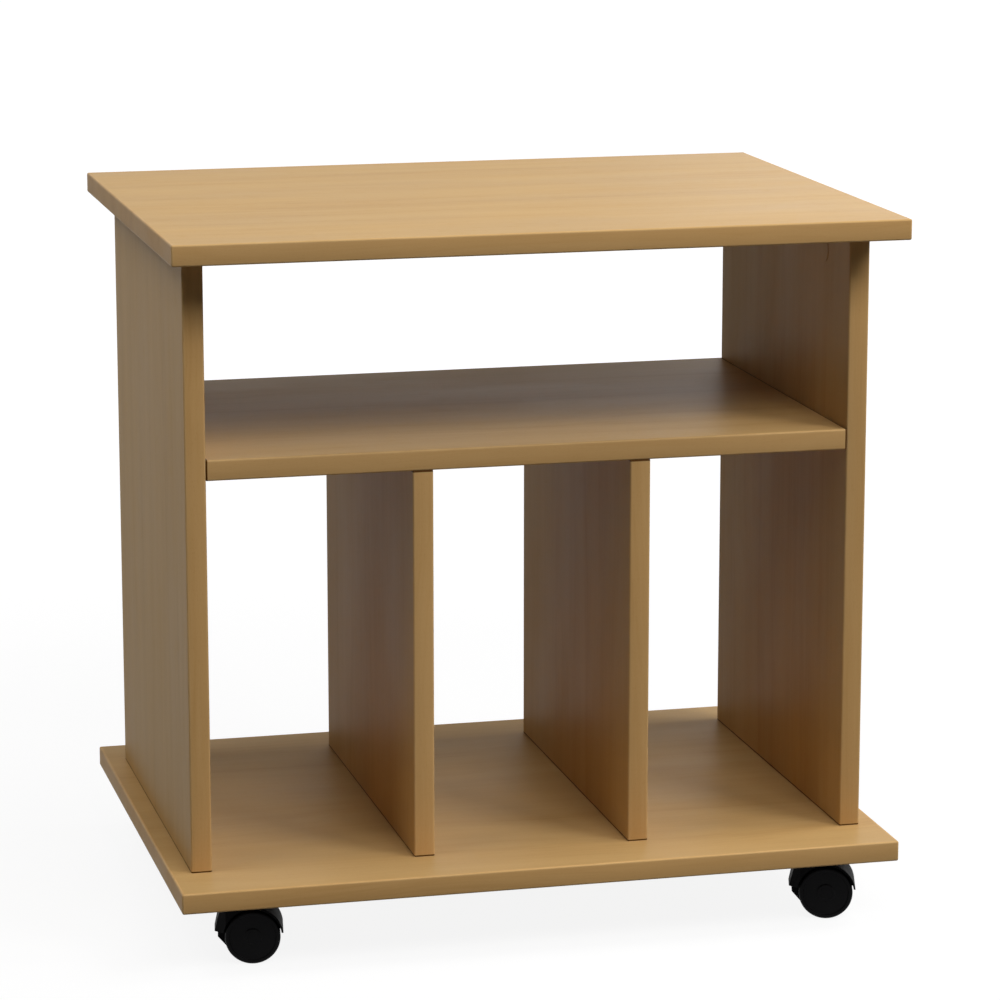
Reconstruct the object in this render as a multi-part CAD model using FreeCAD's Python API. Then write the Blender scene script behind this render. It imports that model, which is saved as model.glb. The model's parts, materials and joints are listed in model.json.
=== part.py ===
import FreeCAD, Part
import math
import os

# Audio rack on four twin-wheel casters, in millimetres.
# The origin is on the floor under the middle of the rack.
# X runs to the right, Y to the back and Z up.

# Boards
deck_width = 600.0
deck_depth = 450.0
board_thickness = 17.0
side_overhang = 16.5
front_setback = 54.0
rear_setback = 46.0
upper_clearance = 163.0
lower_clearance = 322.0
outer_bay_width = 167.5
edging_thickness = 2.0
edge_radius = 1.5
board_end_radius = 0.7
edging_end_gap = 0.05

# Dowels
dowel_radius = 4.0
dowel_length = 30.0
dowel_skin = 5.5
dowel_end_gap = 0.5
dowel_chamfer = 1.0
dowel_inset = 32.0
glue_clearance = 0.05

# Cam bolts, cam locks and their stick-on covers
fitting_inset = 64.0
cam_distance = 24.0
cam_radius = 7.5
cam_skin = 4.0
cam_recess = 0.3
cam_clearance = 0.05
cam_slot_clearance = 0.3
bolt_thread_radius = 2.5
bolt_thread_length = 11.0
bolt_collar_radius = 3.5
bolt_collar_height = 1.5
bolt_shank_radius = 3.0
bolt_neck_radius = 2.0
bolt_neck_length = 6.0
bolt_head_radius = 3.4
bolt_head_length = 3.6
bolt_bore_radius = 4.0
bolt_tip_gap = 0.5
drive_slot_width = 1.2
drive_slot_length = 7.0
drive_slot_depth = 1.5
cover_radius = 9.0
cover_thickness = 0.4

# Panel screws, from below into the uprights
panel_screw_head_radius = 5.0
panel_screw_head_height = 3.0
panel_screw_collar_radius = 3.5
panel_screw_shank_radius = 2.8
panel_screw_length = 50.0
panel_screw_tip_length = 3.0
panel_screw_tip_radius = 1.0
panel_screw_recess_radius = 2.3
panel_screw_recess_depth = 3.5
screw_clearance = 0.05
screw_tip_gap = 1.0

# Casters
caster_inset_side = 56.0
caster_inset_end = 51.0
caster_trail = 9.0
wheel_radius = 22.5
wheel_width = 11.0
wheel_side_gap = 1.0
wheel_edge_radius = 3.0
wheel_chamfer = 0.8
wheel_rim_wall = 3.0
wheel_disc_wall = 2.2
wheel_face_recess = 0.8
wheel_hub_radius = 6.0
wheel_hub_face_radius = 7.0
wheel_cap_wall = 1.7
web_width = 14.0
web_tread_setback = 6.5
web_front_setback = 2.5
web_front_drop = 2.0
web_foot_setback = 1.5
web_foot_drop = 10.0
hood_clearance = 1.2
hood_wall = 1.5
hood_side_setback = 0.5
hood_nose_reach = 5.3
hood_nose_rake = 5.0
hood_rim_height = 3.5
hood_nose_radius = 5.0
hood_corner_cut = 9.0
hood_edge_radius = 0.8
boss_radius = 9.0
boss_height = 4.8
axle_radius = 3.0
axle_chamfer = 0.4
axle_end_gap = 0.3
axle_press_clearance = 0.02
axle_groove_depth = 0.5
axle_groove_width = 1.5
axle_groove_place = 6.75
running_clearance = 0.05
bead_clearance = 0.1
bead_side_gap = 0.3
plate_width = 42.0
plate_thickness = 2.5
plate_corner_radius = 4.0
plate_hole_radius = 2.3
plate_hole_inset = 5.0
pin_radius = 4.0
pin_axle_distance = 4.5
pin_head_radius = 6.0
pin_head_height = 1.2
pin_chamfer = 0.6
pin_tip_gap = 0.5
pin_groove_depth = 0.6
pin_groove_place = 3.0
snap_ring_thickness = 0.8
snap_ring_width = 1.35
snap_ring_slit = 1.5
snap_ring_gap = 0.4
washer_radius = 9.0
washer_thickness = 1.0
washer_clearance = 0.3
caster_screw_radius = 2.0
caster_screw_skin = 5.0
caster_screw_head_radius = 4.0
caster_screw_head_height = 2.2
caster_screw_tip_length = 2.5
caster_screw_tip_radius = 0.4
caster_screw_slot_width = 1.0
caster_screw_slot_length = 4.4
caster_screw_slot_depth = 1.2
cut_overrun = 1.0

# Degrees that each caster stands turned at rest, from trailing to the right
rest_turns = {
    "front_left": -10.0,
    "front_right": -17.0,
    "back_left": -8.0,
    "back_right": -14.0,
}

# Places that follow from the sizes above
deck_back = deck_depth / 2
deck_right = deck_width / 2
hood_inner_radius = wheel_radius + hood_clearance
hood_outer_radius = hood_inner_radius + hood_wall
boss_top = wheel_radius + hood_outer_radius + boss_height
plate_low = boss_top + washer_thickness
bottom_low = plate_low + plate_thickness
bottom_top = bottom_low + board_thickness
shelf_low = bottom_top + lower_clearance
shelf_top = shelf_low + board_thickness
top_low = shelf_top + upper_clearance
top_high = top_low + board_thickness
side_front = front_setback - deck_back
side_back = deck_back - rear_setback
side_outer = deck_right - side_overhang
side_inner = side_outer - board_thickness
divider_outer = side_inner - outer_bay_width
divider_inner = divider_outer - board_thickness
half_board = board_thickness / 2
dowel_rows = (side_front + dowel_inset, side_back - dowel_inset)
fitting_rows = (side_front + fitting_inset, side_back - fitting_inset)
cam_depth = board_thickness - cam_skin
wheel_inner_face = web_width / 2 + wheel_side_gap
wheel_outer_face = wheel_inner_face + wheel_width
hood_half_width = wheel_outer_face - hood_side_setback
axle_reach = wheel_width - wheel_cap_wall - axle_end_gap
hood_front_reach = hood_outer_radius + hood_nose_reach
hood_top_reach = hood_front_reach - hood_nose_rake
web_radius = wheel_radius - web_tread_setback
web_front_reach = hood_front_reach - web_front_setback
web_foot_reach = wheel_radius - web_foot_setback
pin_low = wheel_radius + pin_axle_distance

origin = FreeCAD.Vector(0, 0, 0)
right = FreeCAD.Vector(1, 0, 0)
back = FreeCAD.Vector(0, 1, 0)
up = FreeCAD.Vector(0, 0, 1)


def point(x, y, z):
    return FreeCAD.Vector(x, y, z)


def block(low, high):
    """A box between two corners."""
    size = high - low
    return Part.makeBox(size.x, size.y, size.z, low)


def rod(radius, low, high, axis=up):
    """A round bar about an axis through the origin, between two distances along it."""
    return Part.makeCylinder(radius, high - low, axis * low, axis)


def turned(outline):
    """A solid turned about Z, from its (radius, height) points."""
    points = [point(radius, 0, height) for radius, height in outline]
    face = Part.Face(Part.makePolygon(points + points[:1]))
    return face.revolve(origin, up, 360)


def edges_along(solid, axis):
    """The straight edges of a solid that run along an axis."""
    found = []
    for edge in solid.Edges:
        run = edge.Vertexes[-1].Point - edge.Vertexes[0].Point
        if run.Length > 0 and abs(run.normalize().dot(axis)) > math.cos(math.radians(1)):
            found.append(edge)
    return found


def place(shape, where, along, facing):
    """Moves a shape that was drawn along +Z, facing +X, to a place and two directions."""
    across = along.cross(facing)
    matrix = FreeCAD.Matrix(
        facing.x, across.x, along.x, where.x,
        facing.y, across.y, along.y, where.y,
        facing.z, across.z, along.z, where.z,
        0, 0, 0, 1,
    )
    moved = shape.copy()
    moved.Placement = FreeCAD.Placement(matrix) * shape.Placement
    return moved


# Boards and their edging

def cut_into_strips(rounded, low, high, edged_ends):
    """Splits a rounded board into its core and the edging strips on its open edges."""
    front = block(low, point(high.x, low.y + edging_thickness, high.z))
    rear = block(point(low.x, high.y - edging_thickness, low.z), high)
    inner_low = point(low.x, low.y + edging_thickness, low.z)
    inner_high = point(high.x, high.y - edging_thickness, high.z)
    strips = [front, rear]
    if edged_ends:
        end_front = inner_low.y + edging_end_gap
        end_back = inner_high.y - edging_end_gap
        left_end = point(low.x + edging_thickness, end_back, high.z)
        right_start = point(high.x - edging_thickness, end_front, low.z)
        strips.append(block(point(low.x, end_front, low.z), left_end))
        strips.append(block(right_start, point(high.x, end_back, high.z)))
        inner_low = inner_low + right * edging_thickness
        inner_high = inner_high - right * edging_thickness
    core = rounded.common(block(inner_low, inner_high))
    return core, [rounded.common(strip) for strip in strips]


def deck(height):
    """The top or bottom panel: edged and rounded all round."""
    low = point(-deck_right, -deck_back, height)
    high = point(deck_right, deck_back, height + board_thickness)
    solid = block(low, high)
    return cut_into_strips(solid.makeFillet(edge_radius, solid.Edges), low, high, True)


def rounded_board(low, high, along):
    """A board whose open edges are rounded and whose two joined ends have a fine arris."""
    solid = block(low, high)
    rounded = solid.makeFillet(edge_radius, edges_along(solid, along))
    ends = []
    for face in rounded.Faces:
        if abs(face.normalAt(0, 0).dot(along)) > math.cos(math.radians(1)):
            ends += face.Edges
    return rounded.makeFillet(board_end_radius, ends)


def upright(left_face, low_end, high_end):
    """A side panel or a divider: edged and rounded at the front and the back."""
    low = point(left_face, side_front, low_end)
    high = point(left_face + board_thickness, side_back, high_end)
    return cut_into_strips(rounded_board(low, high, up), low, high, False)


def shelf_board():
    """The shelf: edged and rounded at the front and the back."""
    low = point(-side_inner, side_front, shelf_low)
    high = point(side_inner, side_back, shelf_top)
    return cut_into_strips(rounded_board(low, high, right), low, high, False)


# Joint fittings, drawn on a joint plane at height zero: the board whose end meets the plane
# lies above it, the board whose face it meets lies below, and the cam opens towards +X.

def dowel_pin():
    """A wooden dowel with chamfered ends."""
    low = dowel_skin + dowel_end_gap - board_thickness
    high = low + dowel_length
    end_radius = dowel_radius - dowel_chamfer
    return turned([
        (0, low),
        (end_radius, low),
        (dowel_radius, low + dowel_chamfer),
        (dowel_radius, high - dowel_chamfer),
        (end_radius, high),
        (0, high),
    ])


def dowel_bore():
    """The blind holes that a dowel fills on both sides of the joint plane."""
    low = dowel_skin - board_thickness
    high = low + dowel_end_gap + dowel_length + dowel_end_gap
    return rod(dowel_radius + glue_clearance, low, high)


def cam_bolt():
    """The bolt that screws into one board and whose head the cam in the other pulls."""
    head_low = cam_distance - bolt_head_length / 2
    head_chamfer = (bolt_head_radius - bolt_neck_radius) / 2
    return turned([
        (0, -bolt_thread_length),
        (bolt_thread_radius, -bolt_thread_length),
        (bolt_thread_radius, 0),
        (bolt_collar_radius, 0),
        (bolt_collar_radius, bolt_collar_height),
        (bolt_shank_radius, bolt_collar_height),
        (bolt_shank_radius, head_low - bolt_neck_length),
        (bolt_neck_radius, head_low - bolt_neck_length),
        (bolt_neck_radius, head_low),
        (bolt_head_radius, head_low + head_chamfer),
        (bolt_head_radius, head_low + bolt_head_length - head_chamfer),
        (bolt_head_radius - head_chamfer, head_low + bolt_head_length),
        (0, head_low + bolt_head_length),
    ])


def cam_bolt_bore():
    """The thread's hole below the joint plane and the open channel up to the cam."""
    thread = rod(bolt_thread_radius + screw_clearance, -bolt_thread_length - bolt_tip_gap, 0)
    channel = rod(bolt_bore_radius, 0, cam_distance)
    return thread, channel


def cam_round(radius, low, high):
    """A round across the bolt, about the cam's axis."""
    return rod(radius, low, high, right).translate(up * cam_distance)


def cam_pocket():
    return cam_round(cam_radius + cam_clearance, half_board - cam_depth, half_board)


def cam_lock():
    """The cam: hollow around the bolt's head, slotted for its neck, with a cross recess."""
    low = half_board - cam_depth
    high = half_board - cam_recess
    body = cam_round(cam_radius, low, high)
    head_room = bolt_head_radius + cam_slot_clearance
    neck_room = bolt_neck_radius + cam_slot_clearance
    cavity = cam_round(head_room, low - cut_overrun, head_room)
    slot_foot = cam_distance - cam_radius - cut_overrun
    slot = block(
        point(low - cut_overrun, -neck_room, slot_foot),
        point(neck_room, neck_room, cam_distance),
    )
    drive = []
    for length, width in ((drive_slot_length, drive_slot_width), (drive_slot_width, drive_slot_length)):
        drive.append(block(
            point(high - drive_slot_depth, -width / 2, cam_distance - length / 2),
            point(high + cut_overrun, width / 2, cam_distance + length / 2),
        ))
    return body.cut([cavity, slot] + drive)


def cam_cover():
    """The thin disc stuck over the cam."""
    return cam_round(cover_radius, half_board, half_board + cover_thickness)


def panel_screw_profile(gap, tip_gap):
    """Outline of the panel screw, or of its hole when it is given the gaps."""
    head_low = -board_thickness
    tip_end = head_low + panel_screw_length + tip_gap
    return [
        (0, head_low),
        (panel_screw_head_radius + gap, head_low),
        (panel_screw_collar_radius + gap, head_low + panel_screw_head_height),
        (panel_screw_collar_radius + gap, 0),
        (panel_screw_shank_radius + gap, 0),
        (panel_screw_shank_radius + gap, tip_end - panel_screw_tip_length),
        (panel_screw_tip_radius + gap, tip_end),
        (0, tip_end),
    ]


def panel_screw():
    """A countersunk panel screw with a hexagon recess in its head."""
    corners = []
    for step in range(6):
        angle = math.radians(60 * step)
        corners.append(point(
            panel_screw_recess_radius * math.cos(angle),
            panel_screw_recess_radius * math.sin(angle),
            -board_thickness,
        ))
    recess = Part.Face(Part.makePolygon(corners + corners[:1])).extrude(up * panel_screw_recess_depth)
    return turned(panel_screw_profile(0, 0)).cut(recess)


def panel_screw_hole():
    return turned(panel_screw_profile(screw_clearance, screw_tip_gap))


# Where the fittings sit

def side_joint_places(height, along):
    """Joint planes at the ends of the two side panels, facing into the rack."""
    middle = side_inner + half_board
    places = {}
    for name, sign in (("left", -1), ("right", 1)):
        places[name] = (point(sign * middle, 0, height), along, right * -sign)
    return places


def divider_joint_places(height, along):
    """Joint planes at the ends of the two dividers."""
    middle = divider_inner + half_board
    places = {}
    for name, sign in (("left", -1), ("right", 1)):
        places[name] = (point(sign * middle, 0, height), along, right)
    return places


def shelf_joint_places():
    """Joint planes at the two ends of the shelf, facing down."""
    middle = shelf_low + half_board
    places = {}
    for name, sign in (("left", -1), ("right", 1)):
        places[name] = (point(sign * side_inner, 0, middle), right * -sign, -up)
    return places


def at_rows(shape, joint, rows):
    """Copies of a fitting along one joint, one for each row."""
    where, along, facing = joint
    return [place(shape, where + back * row, along, facing) for row in rows]


top_joints = side_joint_places(top_low, -up)
foot_joints = side_joint_places(bottom_top, up)
shelf_joints = shelf_joint_places()
divider_top_joints = divider_joint_places(shelf_low, -up)
divider_foot_joints = divider_joint_places(bottom_top, up)
sides = ("left", "right")


def along_joints(shape, joints, rows):
    found = []
    for side in sides:
        found += at_rows(shape, joints[side], rows)
    return found


# Casters, drawn with the swivel axis on Z, the floor at height zero and the wheels trailing to +X

def about_axle(shape):
    """Moves a shape drawn about Z so that it lies on the axle, with its +Z along +Y."""
    return place(shape, point(caster_trail, 0, wheel_radius), back, right)


def caster_plate():
    half = plate_width / 2
    plate = block(point(-half, -half, plate_low), point(half, half, bottom_low))
    plate = plate.makeFillet(plate_corner_radius, edges_along(plate, up))
    holes = [rod(pin_radius, plate_low - cut_overrun, bottom_low + cut_overrun)]
    holes.append(rod(pin_head_radius, bottom_low - pin_head_height, bottom_low + cut_overrun))
    screw_hole = rod(plate_hole_radius, plate_low - cut_overrun, bottom_low + cut_overrun)
    for spot in plate_hole_places():
        holes.append(screw_hole.translated(spot))
    return plate.cut(holes)


def plate_hole_places():
    reach = plate_width / 2 - plate_hole_inset
    return [point(x, y, 0) for x in (-reach, reach) for y in (-reach, reach)]


def pin_groove_heights():
    """Lowest and highest level of the groove in the swivel pin."""
    low = pin_low + pin_groove_place
    return low, low + snap_ring_thickness


def swivel_pin():
    """The pin riveted flush into the plate, with a groove for the snap ring."""
    groove_low, groove_high = pin_groove_heights()
    groove_radius = pin_radius - pin_groove_depth
    head_low = bottom_low - pin_head_height
    return turned([
        (0, pin_low),
        (pin_radius - pin_chamfer, pin_low),
        (pin_radius, pin_low + pin_chamfer),
        (pin_radius, groove_low),
        (groove_radius, groove_low),
        (groove_radius, groove_high),
        (pin_radius, groove_high),
        (pin_radius, head_low),
        (pin_head_radius, head_low),
        (pin_head_radius, bottom_low),
        (0, bottom_low),
    ])


def snap_ring():
    """The split ring in the pin's groove that keeps the hood from dropping off."""
    low, high = pin_groove_heights()
    inner = pin_radius - pin_groove_depth
    ring = rod(inner + snap_ring_width, low, high).cut(rod(inner, low, high))
    slit_end = inner + snap_ring_width + cut_overrun
    slit = block(point(0, -snap_ring_slit / 2, low), point(slit_end, snap_ring_slit / 2, high))
    return ring.cut(slit)


def swivel_washer():
    return rod(washer_radius, boss_top, plate_low).cut(
        rod(pin_radius + washer_clearance, boss_top, plate_low))


def caster_screw_profile(gap, low):
    """Outline of the shank of a caster screw, or of its hole when it is given a gap."""
    reach = bottom_low + board_thickness - caster_screw_skin
    return [
        (0, low),
        (caster_screw_radius + gap, low),
        (caster_screw_radius + gap, reach - caster_screw_tip_length),
        (caster_screw_tip_radius + gap, reach),
        (0, reach),
    ]


def caster_screw():
    """A pan-head screw under the plate, with a cross recess."""
    shank = turned(caster_screw_profile(0, plate_low))
    dome_radius = (caster_screw_head_radius ** 2 + caster_screw_head_height ** 2) / (2 * caster_screw_head_height)
    head_low = plate_low - caster_screw_head_height
    dome = Part.makeSphere(dome_radius, point(0, 0, head_low + dome_radius))
    head = dome.common(rod(caster_screw_head_radius, head_low, plate_low))
    drive = []
    long_side = caster_screw_slot_length / 2
    short_side = caster_screw_slot_width / 2
    for x, y in ((long_side, short_side), (short_side, long_side)):
        drive.append(block(
            point(-x, -y, head_low - cut_overrun),
            point(x, y, head_low + caster_screw_slot_depth),
        ))
    return head.fuse(shank).removeSplitter().cut(drive)


def caster_screw_hole():
    """The hole that a caster screw fills in the bottom panel."""
    return turned(caster_screw_profile(screw_clearance, bottom_low))


def hood_outlines():
    """Side outlines of the hood, about the axle: its full width, and the web between the wheels."""
    outer = hood_outer_radius
    inner = hood_inner_radius
    rim = hood_rim_height
    tail_outer = point(math.sqrt(outer ** 2 - rim ** 2), 0, rim)
    tail_inner = point(math.sqrt(inner ** 2 - rim ** 2), 0, rim)
    front_inner = point(-tail_inner.x, 0, rim)
    crown = point(0, 0, outer)
    shoulder = point(outer * math.sin(math.radians(45)), 0, outer * math.sin(math.radians(45)))
    nose_top = point(-hood_top_reach, 0, outer)
    nose_low = point(-hood_front_reach, 0, rim)
    cover = [
        Part.Arc(tail_outer, shoulder, crown).toShape(),
        Part.makeLine(crown, nose_top),
        Part.makeLine(nose_top, nose_low),
    ]
    band = cover + [
        Part.makeLine(nose_low, front_inner),
        Part.Arc(front_inner, point(0, 0, inner), tail_inner).toShape(),
        Part.makeLine(tail_inner, tail_outer),
    ]
    foot = point(-web_foot_reach, 0, -web_foot_drop)
    foot_angle = math.radians(40)
    web_front = point(-web_radius * math.cos(foot_angle), 0, -web_radius * math.sin(foot_angle))
    web_tail = point(math.sqrt(web_radius ** 2 - rim ** 2), 0, rim)
    step = point(-web_front_reach, 0, rim)
    step_low = point(-web_front_reach, 0, -web_front_drop)
    web = cover + [
        Part.makeLine(nose_low, step),
        Part.makeLine(step, step_low),
        Part.makeLine(step_low, foot),
        Part.makeLine(foot, web_front),
        Part.Arc(web_front, point(0, 0, -web_radius), web_tail).toShape(),
        Part.makeLine(web_tail, tail_outer),
    ]
    return band, web


def slice_of(outline, half_width):
    """A side outline given its width, centred on the caster and set on the axle."""
    face = Part.Face(Part.Wire(Part.__sortEdges__(outline)))
    shift = point(caster_trail, -half_width, wheel_radius)
    return face.extrude(back * (2 * half_width)).translate(shift)


def hood_corner_cuts():
    """Wedges that cut the hood's two front corners, as seen from above."""
    front = caster_trail - hood_front_reach
    wedges = []
    for sign in (-1, 1):
        corner = point(front - cut_overrun, sign * (hood_half_width + cut_overrun), 0)
        reach = hood_corner_cut + cut_overrun + cut_overrun
        path = [corner, corner + right * reach, corner - back * (sign * reach), corner]
        wedges.append(Part.Face(Part.makePolygon(path)).extrude(up * bottom_low))
    return wedges


def soften_band(band):
    """Rounds the band's nose and the outer edges along its two sides."""
    nose_place = point(caster_trail - hood_top_reach, 0, wheel_radius + hood_outer_radius)
    across = edges_along(band, back)
    nose = min(across, key=lambda edge: edge.CenterOfMass.distanceToPoint(nose_place))
    rounded = band.makeFillet(hood_nose_radius, [nose])
    rims = []
    for edge in rounded.Edges:
        middle = edge.CenterOfMass
        on_side = math.isclose(abs(middle.y), hood_half_width, rel_tol=1e-6)
        reach = math.hypot(middle.x - caster_trail, middle.z - wheel_radius)
        if on_side and middle.z > wheel_radius + hood_rim_height and reach > hood_inner_radius:
            rims.append(edge)
    return rounded.makeFillet(hood_edge_radius, rims)


def hood():
    """The hood over both wheels, with the web between them and the boss around the pin."""
    band_outline, web_outline = hood_outlines()
    band = soften_band(slice_of(band_outline, hood_half_width))
    web = slice_of(web_outline, web_width / 2)
    boss = rod(boss_radius, wheel_radius + hood_inner_radius, boss_top)
    body = band.fuse([web, boss]).removeSplitter()
    groove_low, groove_high = pin_groove_heights()
    ring_reach = pin_radius - pin_groove_depth + snap_ring_width
    cuts = [
        rod(pin_radius + running_clearance, pin_low - pin_tip_gap, boss_top),
        rod(ring_reach + snap_ring_gap, groove_low - snap_ring_gap, groove_high + snap_ring_gap),
        about_axle(rod(axle_radius + axle_press_clearance, -web_width, web_width)),
    ]
    return body.cut(cuts + hood_corner_cuts())


def axle():
    """The steel axle, pressed through the web, with a groove near each end for a wheel."""
    end = wheel_inner_face + axle_reach
    groove_radius = axle_radius - axle_groove_depth
    groove_near = wheel_inner_face + axle_groove_place - axle_groove_width / 2
    groove_far = groove_near + axle_groove_width
    half = [
        (axle_radius, groove_near),
        (groove_radius, groove_near),
        (groove_radius, groove_far),
        (axle_radius, groove_far),
        (axle_radius, end - axle_chamfer),
        (axle_radius - axle_chamfer, end),
        (0, end),
    ]
    mirrored = [(radius, -height) for radius, height in reversed(half)]
    return about_axle(turned(mirrored + half))


def wheel():
    """A wheel with its inner face on the plane at height zero: tread, disc, hub and blind bore."""
    bore = axle_radius + running_clearance
    bore_end = wheel_width - wheel_cap_wall
    bead = axle_radius - axle_groove_depth + bead_clearance
    bead_half = axle_groove_width / 2 - bead_side_gap
    rim_inner = wheel_radius - wheel_rim_wall
    face = wheel_width - wheel_face_recess
    disc_inner = face - wheel_disc_wall
    edge = wheel_radius - wheel_edge_radius
    corners = [
        (0, bore_end),
        (bore, bore_end),
        (bore, axle_groove_place + bead_half),
        (bead, axle_groove_place + bead_half),
        (bead, axle_groove_place - bead_half),
        (bore, axle_groove_place - bead_half),
        (bore, 0),
        (wheel_hub_radius, 0),
        (wheel_hub_radius, disc_inner),
        (rim_inner, disc_inner),
        (rim_inner, 0),
        (wheel_radius - wheel_chamfer, 0),
        (wheel_radius, wheel_chamfer),
        (wheel_radius, wheel_width - wheel_edge_radius),
    ]
    points = [point(radius, 0, height) for radius, height in corners]
    diagonal = wheel_edge_radius * math.sin(math.radians(45))
    arc_middle = point(edge + diagonal, 0, wheel_width - wheel_edge_radius + diagonal)
    arc_end = point(edge, 0, wheel_width)
    face_points = [
        arc_end,
        point(edge - wheel_face_recess, 0, face),
        point(wheel_hub_face_radius + wheel_face_recess, 0, face),
        point(wheel_hub_face_radius, 0, wheel_width),
        point(0, 0, wheel_width),
        points[0],
    ]
    edges = Part.makePolygon(points).Edges
    edges.append(Part.Arc(points[-1], arc_middle, arc_end).toShape())
    edges += Part.makePolygon(face_points).Edges
    outline = Part.Face(Part.Wire(edges))
    return outline.revolve(origin, up, 360)


def caster_wheels():
    """The two wheels on the axle, left and right as seen while rolling forwards."""
    centre = point(caster_trail, 0, wheel_radius)
    return {
        "left_wheel": place(wheel(), centre - back * wheel_inner_face, -back, right),
        "right_wheel": place(wheel(), centre + back * wheel_inner_face, back, right),
    }


def caster_places():
    """The foot of each swivel axis, on the floor."""
    x = deck_right - caster_inset_side
    y = deck_back - caster_inset_end
    return {
        "front_left": point(-x, -y, 0),
        "front_right": point(x, -y, 0),
        "back_left": point(-x, y, 0),
        "back_right": point(x, y, 0),
    }


def caster(name, where):
    """All the pieces of one caster but its screws, at its place and its angle at rest."""
    pieces = {
        "plate": caster_plate(),
        "pin": swivel_pin(),
        "washer": swivel_washer(),
        "snap_ring": snap_ring(),
    }
    swivelling = {"hood": hood(), "axle": axle()}
    swivelling.update(caster_wheels())
    for shape in swivelling.values():
        shape.rotate(origin, up, rest_turns[name])
    pieces.update(swivelling)
    for shape in pieces.values():
        shape.translate(where)
    return {name + "_caster_" + piece: shape for piece, shape in pieces.items()}


def caster_screw_places():
    return [where + spot for where in caster_places().values() for spot in plate_hole_places()]


# The finished boards, with every hole that the fittings need

def all_pieces():
    pieces = {}
    bolt_thread_hole, bolt_channel = cam_bolt_bore()
    bore = dowel_bore()
    screw_hole = panel_screw_hole()
    caster_holes = [caster_screw_hole().translated(where) for where in caster_screw_places()]

    top_core, pieces["top_panel_edging"] = deck(top_low)
    top_tools = along_joints(bore, top_joints, dowel_rows)
    top_tools += along_joints(bolt_thread_hole, top_joints, fitting_rows)
    pieces["top_panel"] = top_core.cut(top_tools)

    bottom_core, pieces["bottom_panel_edging"] = deck(bottom_low)
    bottom_tools = list(caster_holes)
    for joints in (foot_joints, divider_foot_joints):
        bottom_tools += along_joints(bore, joints, dowel_rows)
        bottom_tools += along_joints(screw_hole, joints, fitting_rows)
    pieces["bottom_panel"] = bottom_core.cut(bottom_tools)

    shelf_core, pieces["shelf_edging"] = shelf_board()
    shelf_tools = along_joints(bore, shelf_joints, dowel_rows)
    shelf_tools += along_joints(bolt_channel, shelf_joints, fitting_rows)
    shelf_tools += along_joints(cam_pocket(), shelf_joints, fitting_rows)
    shelf_tools += along_joints(bore, divider_top_joints, dowel_rows)
    pieces["shelf"] = shelf_core.cut(shelf_tools)

    for side, left_face in (("left", -side_outer), ("right", side_inner)):
        core, pieces[side + "_side_panel_edging"] = upright(left_face, bottom_top, top_low)
        tools = at_rows(bore, top_joints[side], dowel_rows)
        tools += at_rows(bolt_channel, top_joints[side], fitting_rows)
        tools += at_rows(cam_pocket(), top_joints[side], fitting_rows)
        tools += at_rows(bore, shelf_joints[side], dowel_rows)
        tools += at_rows(bolt_thread_hole, shelf_joints[side], fitting_rows)
        tools += at_rows(bore, foot_joints[side], dowel_rows)
        tools += at_rows(screw_hole, foot_joints[side], fitting_rows)
        pieces[side + "_side_panel"] = core.cut(tools)

    for side, left_face in (("left", -divider_outer), ("right", divider_inner)):
        core, pieces[side + "_divider_edging"] = upright(left_face, bottom_top, shelf_low)
        tools = at_rows(bore, divider_top_joints[side], dowel_rows)
        tools += at_rows(bore, divider_foot_joints[side], dowel_rows)
        tools += at_rows(screw_hole, divider_foot_joints[side], fitting_rows)
        pieces[side + "_divider"] = core.cut(tools)

    pieces["top_dowels"] = along_joints(dowel_pin(), top_joints, dowel_rows)
    pieces["shelf_dowels"] = along_joints(dowel_pin(), shelf_joints, dowel_rows)
    pieces["divider_dowels"] = along_joints(dowel_pin(), divider_top_joints, dowel_rows)
    pieces["bottom_dowels"] = along_joints(dowel_pin(), foot_joints, dowel_rows)
    pieces["bottom_dowels"] += along_joints(dowel_pin(), divider_foot_joints, dowel_rows)
    for level, joints in (("top", top_joints), ("shelf", shelf_joints)):
        pieces[level + "_cam_bolts"] = along_joints(cam_bolt(), joints, fitting_rows)
        pieces[level + "_cam_locks"] = along_joints(cam_lock(), joints, fitting_rows)
        pieces[level + "_cam_covers"] = along_joints(cam_cover(), joints, fitting_rows)
    pieces["panel_screws"] = along_joints(panel_screw(), foot_joints, fitting_rows)
    pieces["panel_screws"] += along_joints(panel_screw(), divider_foot_joints, fitting_rows)
    pieces["caster_screws"] = [caster_screw().translated(where) for where in caster_screw_places()]
    for name, where in caster_places().items():
        pieces.update(caster(name, where))
    return pieces


os.makedirs("parts", exist_ok=True)
for node, shape in all_pieces().items():
    if isinstance(shape, list):
        shape = Part.makeCompound(shape)
    shape.exportStep(os.path.join("parts", node + ".step"))
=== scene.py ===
"""Looks of the audio rack: materials, detailed casters, light, floor and camera, in metres."""

import json
import math

import bmesh
import bpy
from mathutils import Matrix, Vector


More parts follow.
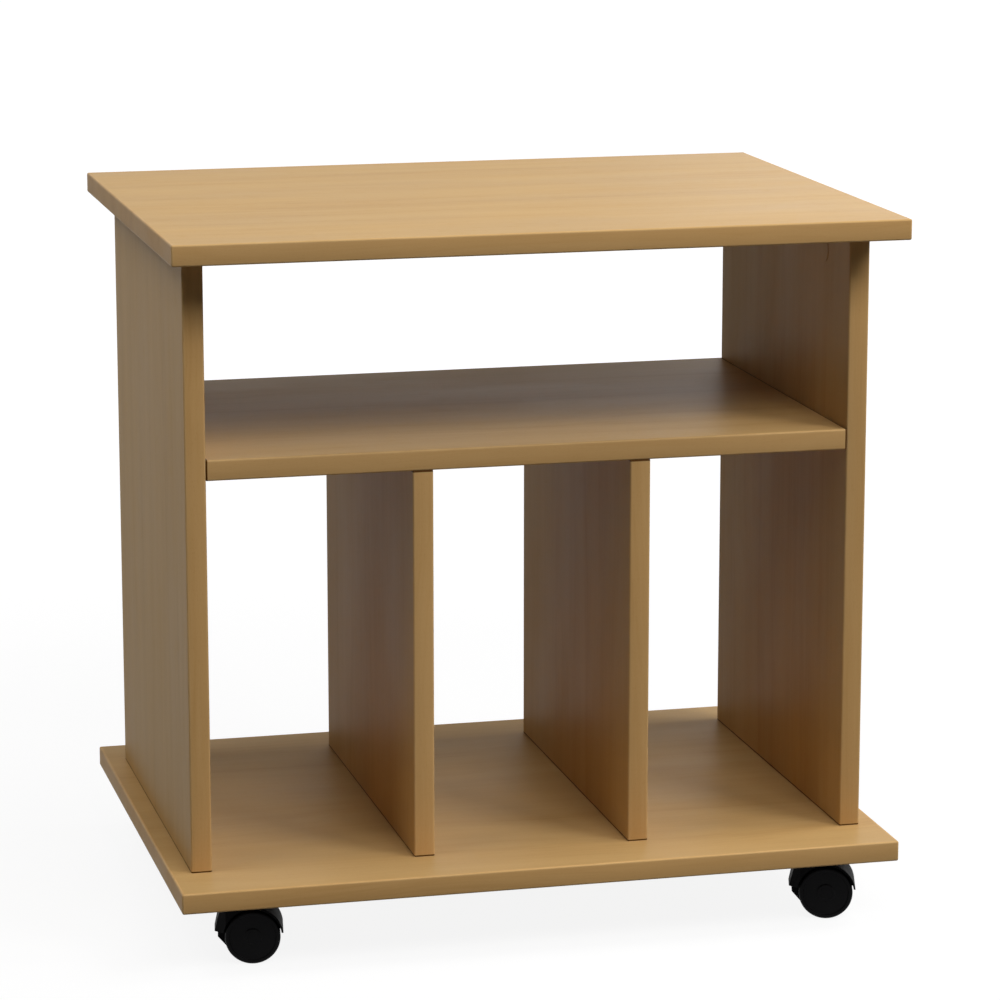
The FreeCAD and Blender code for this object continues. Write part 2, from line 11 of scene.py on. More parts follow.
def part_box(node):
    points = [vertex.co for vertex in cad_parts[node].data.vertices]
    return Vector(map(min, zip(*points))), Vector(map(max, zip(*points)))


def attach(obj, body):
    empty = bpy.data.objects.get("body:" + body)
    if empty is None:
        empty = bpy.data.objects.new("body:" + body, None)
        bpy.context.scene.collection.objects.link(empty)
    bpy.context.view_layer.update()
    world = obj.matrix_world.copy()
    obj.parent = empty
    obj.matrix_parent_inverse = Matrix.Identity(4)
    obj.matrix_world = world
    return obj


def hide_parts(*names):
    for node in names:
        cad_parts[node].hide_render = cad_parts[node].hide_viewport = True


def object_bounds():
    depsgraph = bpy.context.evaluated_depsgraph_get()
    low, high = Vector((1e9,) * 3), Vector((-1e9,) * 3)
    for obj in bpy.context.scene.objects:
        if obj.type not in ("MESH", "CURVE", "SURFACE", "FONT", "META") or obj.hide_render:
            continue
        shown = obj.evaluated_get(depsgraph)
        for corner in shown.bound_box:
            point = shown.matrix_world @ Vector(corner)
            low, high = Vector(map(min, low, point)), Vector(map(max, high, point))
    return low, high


MM = 0.001

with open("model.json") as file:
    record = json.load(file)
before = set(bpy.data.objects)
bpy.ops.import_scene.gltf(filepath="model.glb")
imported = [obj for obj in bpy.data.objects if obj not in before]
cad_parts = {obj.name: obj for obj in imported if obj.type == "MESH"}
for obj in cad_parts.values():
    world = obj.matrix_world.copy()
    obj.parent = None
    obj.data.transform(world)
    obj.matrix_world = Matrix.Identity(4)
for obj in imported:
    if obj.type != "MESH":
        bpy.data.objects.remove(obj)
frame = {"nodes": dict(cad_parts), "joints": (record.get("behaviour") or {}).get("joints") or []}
cad_low, cad_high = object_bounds()

DECKS = ("top_panel", "bottom_panel")
UPRIGHTS = ("left_side_panel", "right_side_panel", "left_divider", "right_divider")
BOARDS = DECKS + ("shelf",) + UPRIGHTS
CORNERS = ("front_left", "front_right", "back_left", "back_right")
WHEEL_SIDES = ("left", "right")


# Nodes


class Nodes:
    """Adds nodes to one shader tree."""

    def __init__(self, tree):
        self.tree = tree

    def add(self, kind, inputs=None, **settings):
        """A node with its settings, whose inputs are values or other nodes' sockets."""
        node = self.tree.nodes.new(kind)
        for key, value in settings.items():
            setattr(node, key, value)
        for key, value in (inputs or {}).items():
            if isinstance(value, bpy.types.NodeSocket):
                self.tree.links.new(value, node.inputs[key])
            else:
                node.inputs[key].default_value = value
        return node

    def math(self, operation, first, second):
        return self.add("ShaderNodeMath", {0: first, 1: second}, operation=operation).outputs[0]

    def vector(self, operation, first, second=(0.0, 0.0, 0.0)):
        inputs = {0: first, 1: second}
        return self.add("ShaderNodeVectorMath", inputs, operation=operation).outputs[0]

    def scaled(self, vector, factor):
        """A vector or a colour times a number."""
        inputs = {0: vector, "Scale": factor}
        return self.add("ShaderNodeVectorMath", inputs, operation="SCALE").outputs[0]

    def split(self, vector):
        """The three parts of a vector."""
        return list(self.add("ShaderNodeSeparateXYZ", {0: vector}).outputs)

    def grained(self, place, along, across):
        """A place in texture cells, so many per metre along the grain and across it."""
        return self.vector("MULTIPLY", place, (along, across, across))

    def noise(self, vector, scale=1.0, detail=2.0, roughness=0.5, distortion=0.0):
        inputs = {
            "Vector": vector, "Scale": scale, "Detail": detail,
            "Roughness": roughness, "Distortion": distortion,
        }
        return self.add("ShaderNodeTexNoise", inputs).outputs["Fac"]

    def spread(self, value, low, high, to_low=0.0, to_high=1.0):
        """A value's range mapped to another range, held at its ends."""
        inputs = {"Value": value, "From Min": low, "From Max": high, "To Min": to_low, "To Max": to_high}
        return self.add("ShaderNodeMapRange", inputs).outputs["Result"]

    def blend(self, share, first, second):
        """Two colours mixed by a share."""
        node = self.add("ShaderNodeMix", data_type="RGBA")
        for key, value in (("Factor_Float", share), ("A_Color", first), ("B_Color", second)):
            socket = next(s for s in node.inputs if s.identifier == key)
            if isinstance(value, bpy.types.NodeSocket):
                self.tree.links.new(value, socket)
            else:
                socket.default_value = value
        return next(s for s in node.outputs if s.identifier == "Result_Color")

    def relief(self, height, strength, distance):
        """A node that turns heights into normals."""
        inputs = {"Height": height, "Strength": strength, "Distance": distance}
        return self.add("ShaderNodeBump", inputs)


def new_material(name):
    """An empty material, with its nodes and its main shader."""
    material = bpy.data.materials.new(name)
    material.use_nodes = True
    tree = material.node_tree
    return material, Nodes(tree), tree.nodes["Principled BSDF"]


def object_place(nodes):
    """A point's place in the frame of the whole rack."""
    return nodes.add("ShaderNodeTexCoord").outputs["Object"]


def link(nodes, socket, bsdf, name):
    nodes.tree.links.new(socket, bsdf.inputs[name])


def shade(base, factor=1.0, lift=0.0):
    """A lighter or darker shade of a colour, with full alpha."""
    return tuple(channel * factor + lift for channel in base) + (1.0,)


# Beech decor

BEECH_PALE = (0.592, 0.378, 0.156, 1.0)
BEECH_MID = (0.560, 0.346, 0.134, 1.0)
BEECH_DARK = (0.500, 0.298, 0.108, 1.0)
BEECH_FLECK = (0.440, 0.250, 0.087, 1.0)
BEECH_IOR = 1.5
BEECH_GLOSS = 0.035
GRAIN_STRENGTH = 0.35
GRAIN_DEPTH = 0.04 * MM

# Cells per metre of each layer, along the grain and across it
DRIFT_CELLS = (2.2, 9.0)
FIGURE_CELLS = (1.6, 42.0)
STREAK_CELLS = (7.0, 330.0)
FIBRE_CELLS = (70.0, 2600.0)
FLECK_CELLS = (260.0, 1500.0)
CLOUD_CELLS = (5.0, 14.0)
WIPE_CELLS = (45.0, 70.0)

# How the layers mix, with ranges for Nodes.spread: low, high, and what these become if not 0 and 1
NOISE_MIDDLE = 0.5
DRIFT_REACH = 0.055
FIGURE_SHARE = 0.62
PALE_RANGE = (0.40, 0.62)
DARK_RANGE = (0.44, 0.30, 0.0, 0.58)
DARK_FIBRE_RANGE = (0.50, 0.28, 0.0, 0.22)
FLECK_CORE_RANGE = (0.38, 0.16)
FLECK_CHANCE_RANGE = (0.52, 0.70)
FLECK_SHARE = 0.22
FLECK_PIT = 0.5
CLOUD_RANGE = (0.30, 0.70, 0.955, 1.035)
FIBRE_ROUGHNESS_RANGE = (0.25, 0.75, 0.43, 0.51)
CLOUD_ROUGHNESS_RANGE = (0.3, 0.7, -0.03, 0.03)
WIPE_ROUGHNESS_RANGE = (0.52, 0.68, 0.0, 0.06)

# How each board and its edging differ, with painted shade at their seams and painted highlights on their
# arrises
EDGING_TINT = (1.000, 0.950, 0.930)
EDGING_CROWN = 0.55 * MM
# The top panel's tone darkens its decor as painted shade; the other tones set boards and edging a little
# apart
BOARD_TONES_AND_SHADE = {
    "top_panel": 0.91, "top_panel_edging": 0.965, "bottom_panel_edging": 1.11, "shelf_edging": 0.96,
    "left_side_panel_edging": 1.03, "right_side_panel_edging": 0.955, "left_divider_edging": 1.065,
}
BOARD_SHIFT = (1.7, 0.9, 0.4)
EDGING_SHIFT = (0.6, 2.3, 1.1)
DOWEL_SHIFT = (0.3, 0.2, 0.1)
# Painted shade: a dark brown band at the ends of uprights and shelf, where they meet other boards
SEAM_SHADE_BROWN = (0.100, 0.040, 0.008, 1.0)
SEAM_CORE = 1.0 * MM
SEAM_WIDTH = 1.5 * MM
# Painted highlight: arrises paler in patches, and a little smoother there
ARRIS_CORE = 0.7 * MM
ARRIS_WIDTH = 2.1 * MM
ARRIS_HIGHLIGHT_PALING = (0.10, 0.17, 0.27)
ARRIS_POLISH = 0.06
ARRIS_PATCH_CELLS = 35.0
ARRIS_PATCH_RANGE = (0.3, 0.6, 0.55, 1.0)


def beech_group():
    """Colour, roughness and height of beech decor, from a position with its grain along X."""
    group = bpy.data.node_groups.new("beech_decor", "ShaderNodeTree")
    group.interface.new_socket("Position", in_out="INPUT", socket_type="NodeSocketVector")
    group.interface.new_socket("Colour", in_out="OUTPUT", socket_type="NodeSocketColor")
    group.interface.new_socket("Roughness", in_out="OUTPUT", socket_type="NodeSocketFloat")
    group.interface.new_socket("Height", in_out="OUTPUT", socket_type="NodeSocketFloat")
    nodes = Nodes(group)
    position = nodes.add("NodeGroupInput").outputs["Position"]

    drift = nodes.noise(nodes.grained(position, *DRIFT_CELLS))
    wander = nodes.math("MULTIPLY", nodes.math("SUBTRACT", drift, NOISE_MIDDLE), DRIFT_REACH)
    offset = nodes.add("ShaderNodeCombineXYZ", {"Y": wander, "Z": wander}).outputs[0]
    wavy = nodes.vector("ADD", position, offset)

    figure = nodes.noise(nodes.grained(wavy, *FIGURE_CELLS), detail=3.0, roughness=0.55)
    streaks = nodes.noise(nodes.grained(wavy, *STREAK_CELLS), detail=4.0, roughness=0.6)
    fibres = nodes.noise(nodes.grained(wavy, *FIBRE_CELLS), detail=3.0, roughness=0.6)
    cloud = nodes.noise(nodes.grained(position, *CLOUD_CELLS))
    wipes = nodes.noise(
        nodes.grained(position, *WIPE_CELLS), detail=6.0, roughness=0.75, distortion=1.4,
    )

    cells = nodes.add("ShaderNodeTexVoronoi", {
        "Vector": nodes.grained(wavy, *FLECK_CELLS), "Scale": 1.0, "Randomness": 1.0,
    })
    core = nodes.spread(cells.outputs["Distance"], *FLECK_CORE_RANGE)
    chance = nodes.add("ShaderNodeSeparateColor", {"Color": cells.outputs["Color"]}).outputs[0]
    flecks = nodes.math("MULTIPLY", core, nodes.spread(chance, *FLECK_CHANCE_RANGE))

    broad = nodes.math("MULTIPLY", figure, FIGURE_SHARE)
    tone = nodes.math("ADD", broad, nodes.math("MULTIPLY", streaks, 1.0 - FIGURE_SHARE))
    colour = nodes.blend(nodes.spread(tone, *PALE_RANGE), BEECH_MID, BEECH_PALE)
    colour = nodes.blend(nodes.spread(tone, *DARK_RANGE), colour, BEECH_DARK)
    colour = nodes.blend(nodes.spread(fibres, *DARK_FIBRE_RANGE), colour, BEECH_DARK)
    colour = nodes.blend(nodes.math("MULTIPLY", flecks, FLECK_SHARE), colour, BEECH_FLECK)
    colour = nodes.scaled(colour, nodes.spread(cloud, *CLOUD_RANGE))

    rough = nodes.spread(fibres, *FIBRE_ROUGHNESS_RANGE)
    rough = nodes.math("ADD", rough, nodes.spread(cloud, *CLOUD_ROUGHNESS_RANGE))
    rough = nodes.math("ADD", rough, nodes.spread(wipes, *WIPE_ROUGHNESS_RANGE))
    height = nodes.math("SUBTRACT", fibres, nodes.math("MULTIPLY", flecks, FLECK_PIT))
    nodes.add("NodeGroupOutput", {"Colour": colour, "Roughness": rough, "Height": height})
    return group


BEECH = beech_group()


def depths(nodes, place, box):
    """How far a point lies inside a box, from its sides across X, Y and Z."""
    low, high = box
    away = nodes.vector("ABSOLUTE", nodes.vector("SUBTRACT", place, (low + high) / 2))
    return nodes.split(nodes.vector("SUBTRACT", (high - low) / 2, away))


def arris_highlight_and_polish(nodes, place, sides, colour, rough):
    """Arrises with a painted highlight, paler in patches, and a little smoother."""
    across, back, up = sides
    nearer = nodes.math("MINIMUM", across, back)
    farther = nodes.math("MAXIMUM", across, back)
    arris = nodes.math("MAXIMUM", nearer, nodes.math("MINIMUM", farther, up))
    patches = nodes.spread(nodes.noise(place, ARRIS_PATCH_CELLS, detail=3.0), *ARRIS_PATCH_RANGE)
    highlight_and_polish = nodes.math("MULTIPLY", nodes.spread(arris, ARRIS_CORE, ARRIS_WIDTH, 1.0, 0.0), patches)
    painted_highlight = nodes.vector("ADD", nodes.scaled(ARRIS_HIGHLIGHT_PALING, highlight_and_polish), (1.0, 1.0, 1.0))
    polish = nodes.math("MULTIPLY", highlight_and_polish, ARRIS_POLISH)
    return nodes.vector("MULTIPLY", colour, painted_highlight), nodes.math("SUBTRACT", rough, polish)


def crown(nodes, depth, half):
    """Normal of a face that stands a little proud in the middle of a board's thickness."""
    off_middle = nodes.math("SUBTRACT", 1.0, nodes.math("DIVIDE", depth, half))
    fall = nodes.math("MULTIPLY", nodes.math("MULTIPLY", off_middle, off_middle), -EDGING_CROWN)
    return nodes.relief(fall, strength=1.0, distance=1.0).outputs[0]


def beech(name, grain, shift, box=None, shade_seams=False, edging=False, tone=1.0):
    """Beech with its grain along X or Z, and in a board's box with painted highlights on smoother
    arrises and painted shade at its seams.
    """
    material, nodes, bsdf = new_material(name)
    place = object_place(nodes)
    along = place
    if grain == "Z":
        x, y, z = nodes.split(place)
        along = nodes.add("ShaderNodeCombineXYZ", {"X": z, "Y": y, "Z": x}).outputs[0]
    decor = nodes.add("ShaderNodeGroup", node_tree=BEECH)
    nodes.tree.links.new(nodes.vector("ADD", along, shift), decor.inputs["Position"])
    # A board's tone, which for the top panel is painted shade
    colour = nodes.scaled(decor.outputs["Colour"], tone)
    rough = decor.outputs["Roughness"]
    relief = nodes.relief(decor.outputs["Height"], GRAIN_STRENGTH, GRAIN_DEPTH)
    if edging:
        colour = nodes.vector("MULTIPLY", colour, EDGING_TINT)
    if box:
        sides = depths(nodes, place, box)
        # Painted highlight on the arrises, which are also a little smoother
        colour, rough = arris_highlight_and_polish(nodes, place, sides, colour, rough)
    # Painted shade: a dark brown band at the ends, where the board meets the next one
    if shade_seams:
        end = sides[0] if grain == "X" else sides[2]
        colour = nodes.blend(nodes.spread(end, SEAM_CORE, SEAM_WIDTH, 1.0, 0.0), colour, SEAM_SHADE_BROWN)
    if edging:
        thickness_axis = 2 if grain == "X" else 0
        half = (box[1][thickness_axis] - box[0][thickness_axis]) / 2
        nodes.tree.links.new(crown(nodes, sides[thickness_axis], half), relief.inputs["Normal"])
    link(nodes, colour, bsdf, "Base Color")
    link(nodes, rough, bsdf, "Roughness")
    link(nodes, relief.outputs[0], bsdf, "Normal")
    bsdf.inputs["IOR"].default_value = BEECH_IOR
    bsdf.inputs["Specular IOR Level"].default_value = BEECH_GLOSS
    return material


# Plastics and metals, with cells per metre and ranges as for the beech

SHEEN_CLOUD_ENDS = (0.3, 0.7)

PLASTIC_CLOUD_CELLS = 90.0
# Painted sheen: pale clouds in the plastic's colour
PLASTIC_SHEEN_PAINT_RANGE = (0.45, 0.75, 0.0, 0.25)
PLASTIC_SHEEN_SWING = (0.05, 0.07)
PLASTIC_GRAIN_STRENGTH = 0.4
PALE_FACTOR = 2.6
PALE_LIFT = 0.004
SCUFF_CELLS = (900.0, 240.0, 500.0)
SCUFF_RANGE = (0.62, 0.74)
SCUFF_SHARE = 0.30
SCUFF_ROUGHNESS = 0.12

METAL_CLOUD_CELLS = 160.0
METAL_CLOUD_RANGE = (0.35, 0.7)
METAL_SHEEN_SWING = (0.07, 0.10)
METAL_SHADE = 0.78
SCRATCH_CELLS = (60.0, 3200.0, 900.0)
SCRATCH_STRENGTH = 0.25
SCRATCH_DEPTH = 0.02 * MM

NYLON_CLOUD_CELLS = 300.0
NYLON_SHADE = 0.86
NYLON_ROUGHNESS = (0.38, 0.50)


def cloudy_sheen(nodes, cloud, rough, swing):
    """A roughness that a cloud takes a little below and above its middle value."""
    below, above = swing
    return nodes.spread(cloud, *SHEEN_CLOUD_ENDS, rough - below, rough + above)


def black_plastic(name, base, rough, gloss, grain_size, grain_depth):
    """Moulded black nylon: eroded grain, a cloudy sheen in its roughness and as painted sheen in its
    colour, and a few pale scuffs.
    """
    material, nodes, bsdf = new_material(name)
    place = object_place(nodes)
    grain = nodes.noise(place, 1.0 / grain_size)
    cloud = nodes.noise(place, PLASTIC_CLOUD_CELLS, detail=3.0)
    marks = nodes.vector("MULTIPLY", place, SCUFF_CELLS)
    marks = nodes.noise(marks, detail=4.0, roughness=0.7, distortion=0.6)
    scuffs = nodes.spread(marks, *SCUFF_RANGE)
    pale = shade(base, PALE_FACTOR, PALE_LIFT)
    colour = nodes.blend(nodes.math("MULTIPLY", scuffs, SCUFF_SHARE), shade(base), pale)
    # Painted sheen: pale clouds lift the colour
    colour = nodes.blend(nodes.spread(cloud, *PLASTIC_SHEEN_PAINT_RANGE), colour, pale)
    link(nodes, colour, bsdf, "Base Color")
    sheen = cloudy_sheen(nodes, cloud, rough, PLASTIC_SHEEN_SWING)
    sheen = nodes.math("ADD", sheen, nodes.math("MULTIPLY", scuffs, SCUFF_ROUGHNESS))
    link(nodes, sheen, bsdf, "Roughness")
    relief = nodes.relief(grain, PLASTIC_GRAIN_STRENGTH, grain_depth)
    link(nodes, relief.outputs[0], bsdf, "Normal")
    bsdf.inputs["Specular IOR Level"].default_value = gloss
    return material


def bright_metal(name, base, rough):
    """Plated steel or zinc alloy: a cloudy surface with fine scratches."""
    material, nodes, bsdf = new_material(name)
    place = object_place(nodes)
    cloud = nodes.noise(place, METAL_CLOUD_CELLS, detail=4.0)
    scratch = nodes.noise(nodes.vector("MULTIPLY", place, SCRATCH_CELLS))
    clouds = nodes.spread(cloud, *METAL_CLOUD_RANGE)
    link(nodes, nodes.blend(clouds, shade(base, METAL_SHADE), shade(base)), bsdf, "Base Color")
    link(nodes, cloudy_sheen(nodes, cloud, rough, METAL_SHEEN_SWING), bsdf, "Roughness")
    relief = nodes.relief(scratch, SCRATCH_STRENGTH, SCRATCH_DEPTH)
    link(nodes, relief.outputs[0], bsdf, "Normal")
    bsdf.inputs["Metallic"].default_value = 1.0
    return material


def nylon(name, base):
    """Natural nylon: milky, with a faint cloudiness."""
    material, nodes, bsdf = new_material(name)
    cloud = nodes.noise(object_place(nodes), NYLON_CLOUD_CELLS, detail=3.0)
    link(nodes, nodes.blend(cloud, shade(base), shade(base, NYLON_SHADE)), bsdf, "Base Color")
    link(nodes, nodes.spread(cloud, *SHEEN_CLOUD_ENDS, *NYLON_ROUGHNESS), bsdf, "Roughness")
    return material


HOOD_PLASTIC = black_plastic(
    "hood_plastic", base=(0.0042, 0.0042, 0.0045), rough=0.55, gloss=0.035,
    grain_size=0.5 * MM, grain_depth=0.02 * MM,
)
WHEEL_PLASTIC = black_plastic(
    "wheel_plastic", base=(0.0030, 0.0029, 0.0032), rough=0.42, gloss=0.060,
    grain_size=0.9 * MM, grain_depth=0.01 * MM,
)
STEEL = bright_metal("plated_steel", base=(0.56, 0.56, 0.55), rough=0.34)
ZINC = bright_metal("zinc_alloy", base=(0.48, 0.48, 0.47), rough=0.42)
WASHER_NYLON = nylon("washer_nylon", base=(0.66, 0.65, 0.60))


# Materials on the pieces


def dress(node, material):
    """Gives a CAD node its material."""
    slots = frame["nodes"][node].data.materials
    slots.clear()
    slots.append(material)


def board_box(board):
    """Lowest and highest corner of a board with its edging."""
    boxes = (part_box(board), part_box(board + "_edging"))
    low = Vector(min(box[0][axis] for box in boxes) for axis in range(3))
    high = Vector(max(box[1][axis] for box in boxes) for axis in range(3))
    return low, high


def dress_boards():
    """Each board and its edging get their own stretch of the beech decor."""
    for number, board in enumerate(BOARDS, start=1):
        grain = "Z" if board in UPRIGHTS else "X"
        box = board_box(board)
        for node, step in ((board, BOARD_SHIFT), (board + "_edging", EDGING_SHIFT)):
            shift = tuple(part * number for part in step)
            dress(node, beech(
                node + "_decor", grain, shift, box,
                shade_seams=board not in DECKS, edging=node != board, tone=BOARD_TONES_AND_SHADE.get(node, 1.0),
            ))


def dress_fittings():
    """Dowels, screws, cam fittings and casters; a cam cover wears the decor of its board."""
    turned_beech = beech("turned_beech", "Z", DOWEL_SHIFT)
    for joint in ("top", "shelf", "divider", "bottom"):
        dress(joint + "_dowels", turned_beech)
    for joint, board in (("top", "right_side_panel"), ("shelf", "shelf")):
        dress(joint + "_cam_bolts", ZINC)
        dress(joint + "_cam_locks", ZINC)
        dress(joint + "_cam_covers", bpy.data.materials[board + "_decor"])
    dress("panel_screws", STEEL)
    dress("caster_screws", STEEL)
    for corner in CORNERS:
        for piece in ("plate", "pin", "snap_ring", "axle"):
            dress(corner + "_caster_" + piece, STEEL)
        dress(corner + "_caster_washer", WASHER_NYLON)
        dress(corner + "_caster_hood", HOOD_PLASTIC)
        for side in WHEEL_SIDES:
            dress(corner + "_caster_" + side + "_wheel", WHEEL_PLASTIC)


dress_boards()
dress_fittings()


# Caster wheels, drawn in millimetres with the inner face at height zero

WHEEL_RADIUS = 22.48
WHEEL_WIDTH = 11.0
RIM_INNER = 19.5
RIM_FOOT = 0.8
SHOULDER_RADIUS = 3.0
SHOULDER_STEPS = 8
DISC_INNER = 8.0
HUB_RADIUS = 6.0
BORE_RADIUS = 3.05
BORE_DEPTH = 9.3
BEAD_RADIUS = 2.6
BEAD_LOW = 6.3
BEAD_HIGH = 7.2
TREAD_GROOVES = (2.6, 5.4)
GROOVE_WIDTH = 0.6
GROOVE_DEPTH = 0.3
CORNER_EASE = 0.12
EASED_ANGLE = math.radians(32)
SHARP_ANGLE = math.radians(35)
TURNED_SEGMENTS = 120


def wheel_outline():
    """Half the wheel's section as (radius, height), from the bottom of the bore round to the cap."""
    bore = [
        (0.0, BORE_DEPTH), (BORE_RADIUS, BORE_DEPTH),
        (BORE_RADIUS, BEAD_HIGH), (BEAD_RADIUS, BEAD_HIGH),
        (BEAD_RADIUS, BEAD_LOW), (BORE_RADIUS, BEAD_LOW),
        (BORE_RADIUS, 0.0), (HUB_RADIUS, 0.0),
    ]
    hollow = [(HUB_RADIUS, DISC_INNER), (RIM_INNER, DISC_INNER), (RIM_INNER, 0.0)]
    tread = [(WHEEL_RADIUS - RIM_FOOT, 0.0), (WHEEL_RADIUS, RIM_FOOT)]
    for height in TREAD_GROOVES:
        floor = WHEEL_RADIUS - GROOVE_DEPTH
        tread += [
            (WHEEL_RADIUS, height), (floor, height + GROOVE_DEPTH / 2),
            (floor, height + GROOVE_WIDTH - GROOVE_DEPTH / 2), (WHEEL_RADIUS, height + GROOVE_WIDTH),
        ]
    shoulder = []
    for step in range(SHOULDER_STEPS + 1):
        angle = math.pi / 2 * step / SHOULDER_STEPS
        radius = WHEEL_RADIUS - SHOULDER_RADIUS * (1.0 - math.cos(angle))
        shoulder.append((radius, WHEEL_WIDTH - SHOULDER_RADIUS * (1.0 - math.sin(angle))))
    rim_lip = [(19.1, 10.96), (18.75, 10.5), (18.55, 9.95), (18.1, 9.85)]
    disc = [(17.4, 9.98), (15.8, 10.09), (13.2, 10.16), (10.6, 10.12), (8.9, 10.02)]
    hub = [(8.2, 10.02), (7.8, 10.15), (7.4, 10.55), (7.0, 10.9), (6.5, 10.95)]
    cap = [(5.5, 10.95), (5.25, 10.7), (4.9, 10.7), (4.65, 10.9), (3.0, 10.96), (0.0, 10.99)]
    return bore + hollow + tread + shoulder + rim_lip + disc + hub + cap


def ring_of_points(shape, radius, height):
    """The points of an outline's corner as it turns about Z, or one point on the axis."""
    if radius == 0.0:
        return [shape.verts.new((0.0, 0.0, height * MM))]
    ring = []
    for step in range(TURNED_SEGMENTS):
        angle = 2.0 * math.pi * step / TURNED_SEGMENTS
        x = radius * math.cos(angle)
        y = radius * math.sin(angle)
        ring.append(shape.verts.new((x * MM, y * MM, height * MM)))
    return ring


def turned_mesh(name, outline):
    """A closed turned body about Z, its corners eased, in metres."""
    shape = bmesh.new()
    rings = [ring_of_points(shape, radius, height) for radius, height in outline]
    for first, second in zip(rings, rings[1:]):
        for step in range(TURNED_SEGMENTS):
            after = (step + 1) % TURNED_SEGMENTS
            corners = [first[step % len(first)], first[after % len(first)]]
            corners += [second[after % len(second)], second[step % len(second)]]
            shape.faces.new(list(dict.fromkeys(corners)))
    bmesh.ops.recalc_face_normals(shape, faces=shape.faces)
    sharp = [edge for edge in shape.edges if edge.calc_face_angle(0.0) > EASED_ANGLE]
    bmesh.ops.bevel(
        shape, geom=sharp, offset=CORNER_EASE * MM, segments=2, profile=0.5,
        affect="EDGES", clamp_overlap=True,
    )
    mesh = bpy.data.meshes.new(name)
    shape.to_mesh(mesh)
    shape.free()
    mesh.polygons.foreach_set("use_smooth", [True] * len(mesh.polygons))
    mesh.set_sharp_from_angle(angle=SHARP_ANGLE)
    return mesh


def outward_axis(corner, side):
    """Unit vector out of a caster's wheel, along its axle."""
    name = corner + "_" + side + "_wheel_spin"
    axis = Vector(next(joint["axis"] for joint in frame["joints"] if joint["name"] == name))
    return -axis if side == "left" else axis


def make_wheels():
    """Wheels with a grooved tread, a rim lip, a domed disc and a hub cap, in place of the plain ones."""
    mesh = turned_mesh("caster_wheel", wheel_outline())
    mesh.materials.append(WHEEL_PLASTIC)
    for corner in CORNERS:
        for side in WHEEL_SIDES:
            node = corner + "_caster_" + side + "_wheel"
            outward = outward_axis(corner, side)
            low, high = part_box(node)
            start = (low + high) / 2 - outward * (WHEEL_WIDTH / 2 * MM)
            wheel = bpy.data.objects.new(node + "_detailed", mesh)
            turn = outward.to_track_quat("Z", "Y").to_matrix().to_4x4()
            wheel.matrix_world = Matrix.Translation(start) @ turn
            bpy.context.scene.collection.objects.link(wheel)
            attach(wheel, corner + "_" + side + "_wheel")
            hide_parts(node)


make_wheels()


# Stage, light and camera

WHITE = (1.0, 1.0, 1.0, 1.0)
FLOOR_REACH = 30.0
FLOOR_COLOUR = (0.12, 0.12, 0.12, 1.0)
FLOOR_ROUGHNESS = 0.9
FLOOR_GLOSS = 0.1
FLOOR_GLOW = 0.89
FLOOR_FADE_START = 0.9
FLOOR_FADE_END = 3.0
WORLD_LIGHT = 0.02
LIGHT_AIM = (cad_low + cad_high) / 2

# The camera's place in metres, its turn and tilt in degrees and its lens in millimetres
CAMERA_PLACE = (-0.7829, -3.2002, 1.0348)
CAMERA_YAW = 14.009
CAMERA_PITCH = 12.061
CAMERA_LENS = 142.6
CAMERA_REACH = 100.0


def white_to_the_eye(nodes):
    """One for rays that show a background: seen directly, mirrored or through something."""
    path = nodes.add("ShaderNodeLightPath").outputs
    seen = nodes.math("MAXIMUM", path["Is Camera Ray"], path["Is Glossy Ray"])
    return nodes.math("MAXIMUM", seen, path["Is Transmission Ray"])


def make_floor():
    """A wide floor that is dark to the lamps, almost white to the eye and keeps a faint shadow."""
    mesh = bpy.data.meshes.new("floor")
    corners = [(-1, -1), (1, -1), (1, 1), (-1, 1)]
    points = [(x * FLOOR_REACH, y * FLOOR_REACH, cad_low.z) for x, y in corners]
    mesh.from_pydata(points, [], [(0, 1, 2, 3)])
    floor = bpy.data.objects.new("floor", mesh)
    bpy.context.scene.collection.objects.link(floor)
    material, nodes, bsdf = new_material("pale_floor")
    bsdf.inputs["Base Color"].default_value = FLOOR_COLOUR
    bsdf.inputs["Roughness"].default_value = FLOOR_ROUGHNESS
    bsdf.inputs["Specular IOR Level"].default_value = FLOOR_GLOSS
    place = object_place(nodes)
    reach = nodes.add("ShaderNodeVectorMath", {0: place}, operation="LENGTH").outputs["Value"]
    level = nodes.spread(reach, FLOOR_FADE_START, FLOOR_FADE_END, FLOOR_GLOW, 1.0)
    glow = nodes.math("MULTIPLY", white_to_the_eye(nodes), level)
    bsdf.inputs["Emission Color"].default_value = WHITE
    link(nodes, glow, bsdf, "Emission Strength")
    mesh.materials.append(material)


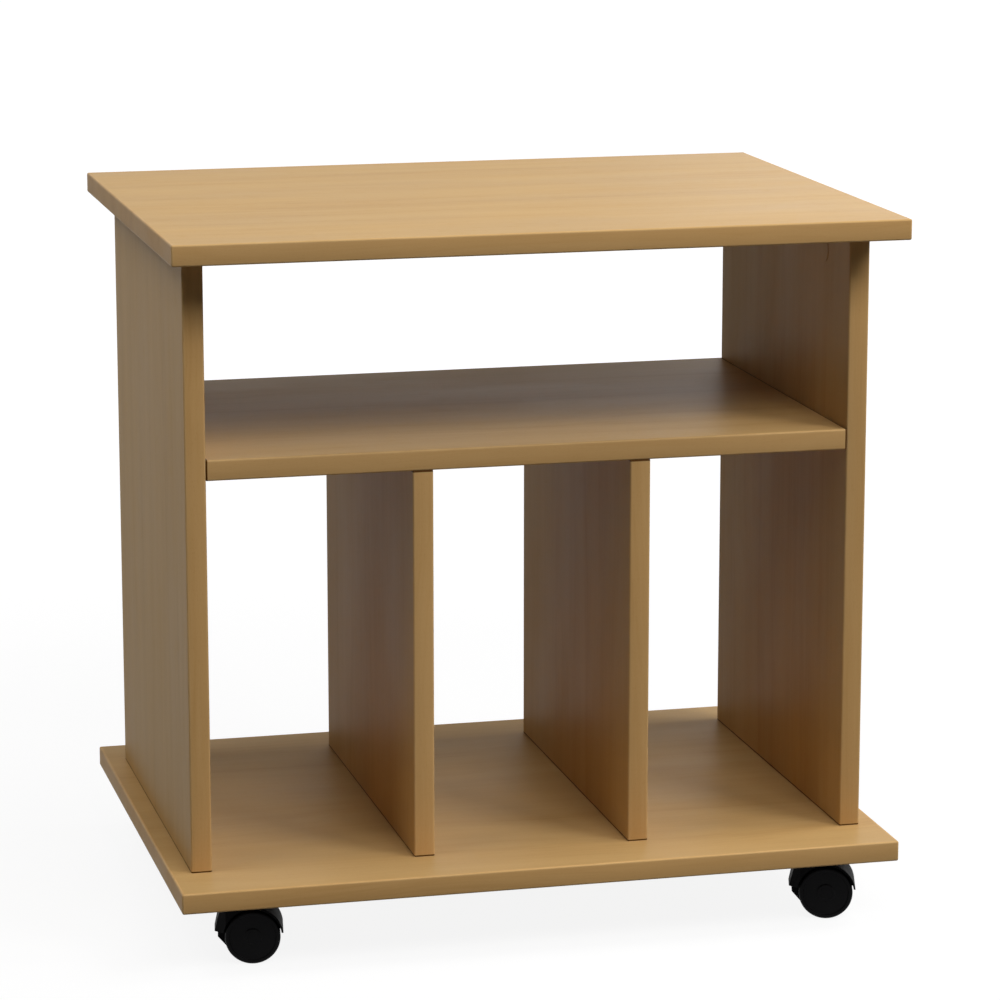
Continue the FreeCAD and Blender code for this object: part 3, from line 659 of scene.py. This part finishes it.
def make_world():
    """An even sky, dim as a light and white to the eye."""
    world = bpy.data.worlds.new("pale_sky")
    bpy.context.scene.world = world
    world.use_nodes = True
    nodes = Nodes(world.node_tree)
    background = world.node_tree.nodes["Background"]
    background.inputs["Color"].default_value = WHITE
    strength = nodes.spread(white_to_the_eye(nodes), 0.0, 1.0, WORLD_LIGHT, 1.0)
    world.node_tree.links.new(strength, background.inputs["Strength"])


def soft_light(name, place, size, power):
    """A softbox aimed at the middle of the rack, which the camera doesn't see."""
    width, height = size
    data = bpy.data.lights.new(name, "AREA")
    data.shape = "RECTANGLE"
    data.size = width
    data.size_y = height
    data.energy = power
    lamp = bpy.data.objects.new(name, data)
    lamp.location = place
    lamp.rotation_euler = (LIGHT_AIM - Vector(place)).to_track_quat("-Z", "Y").to_euler()
    lamp.visible_camera = False
    bpy.context.scene.collection.objects.link(lamp)


def make_lights():
    """Softboxes by name: place, width and height, and watts."""
    soft_light("top_light", (0.0, 0.2, 3.2), (2.6, 2.6), 6.0)
    soft_light("front_light", (0.2, -2.3, 2.5), (1.4, 1.0), 30.0)
    soft_light("right_front_light", (1.8, -1.8, 2.6), (1.2, 1.2), 41.0)
    soft_light("right_light", (2.2, -0.2, 2.6), (1.2, 1.2), 38.0)
    soft_light("upper_left_light", (-1.7, -0.3, 3.0), (1.4, 1.4), 25.0)
    soft_light("left_light", (-3.0, -0.2, 1.4), (2.0, 1.8), 1.3)
    soft_light("left_back_light", (-1.3, 1.0, 0.3), (0.6, 0.5), 0.7)
    soft_light("right_back_light", (1.7, 2.8, 1.2), (1.4, 1.0), 8.0)
    soft_light("back_light", (0.4, 3.2, 1.8), (2.4, 1.6), 4.0)


def make_camera():
    """The photograph's viewing angle."""
    data = bpy.data.cameras.new("photo_camera")
    data.lens = CAMERA_LENS
    data.clip_end = CAMERA_REACH
    camera = bpy.data.objects.new("photo_camera", data)
    camera.location = CAMERA_PLACE
    tilt = math.radians(90.0 - CAMERA_PITCH)
    camera.rotation_euler = (tilt, 0.0, math.radians(-CAMERA_YAW))
    bpy.context.scene.collection.objects.link(camera)
    bpy.context.scene.camera = camera


make_floor()
make_world()
make_lights()
make_camera()
bpy.context.scene.view_settings.view_transform = "Standard"
